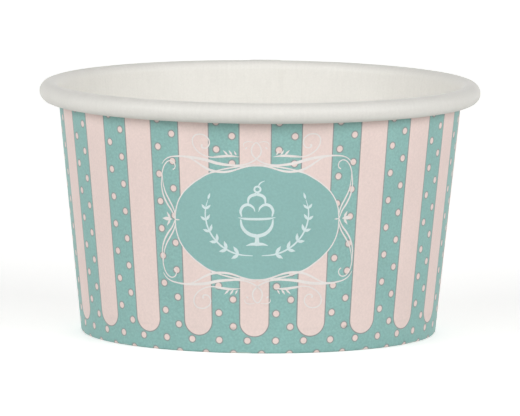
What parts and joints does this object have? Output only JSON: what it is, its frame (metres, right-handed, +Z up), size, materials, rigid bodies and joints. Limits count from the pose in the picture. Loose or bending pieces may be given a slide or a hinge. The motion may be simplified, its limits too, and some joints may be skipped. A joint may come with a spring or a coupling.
{
  "type": "paper dessert cup",
  "caption": "Round tapered paper tub for one serving of ice cream or dessert, with a rolled rim, a folded foot and a recessed bottom, printed in stripes and dots.",
  "frame": {"origin": "on the table plane, under the middle of the cup", "axes": "+Z up along the cup's axis; -Y towards the front, where the printed panel is; the side seam is at +Y"},
  "size_m": [0.09, 0.0901, 0.0513],
  "materials": {
    "printed_board": "coated board, satin, printed in stripes and dots outside and white inside",
    "bottom_board": "coated white board, satin"
  },
  "bodies": {
    "root": {"sidewall": "printed_board", "bottom_disc": "bottom_board"}
  },
  "joints": []
}
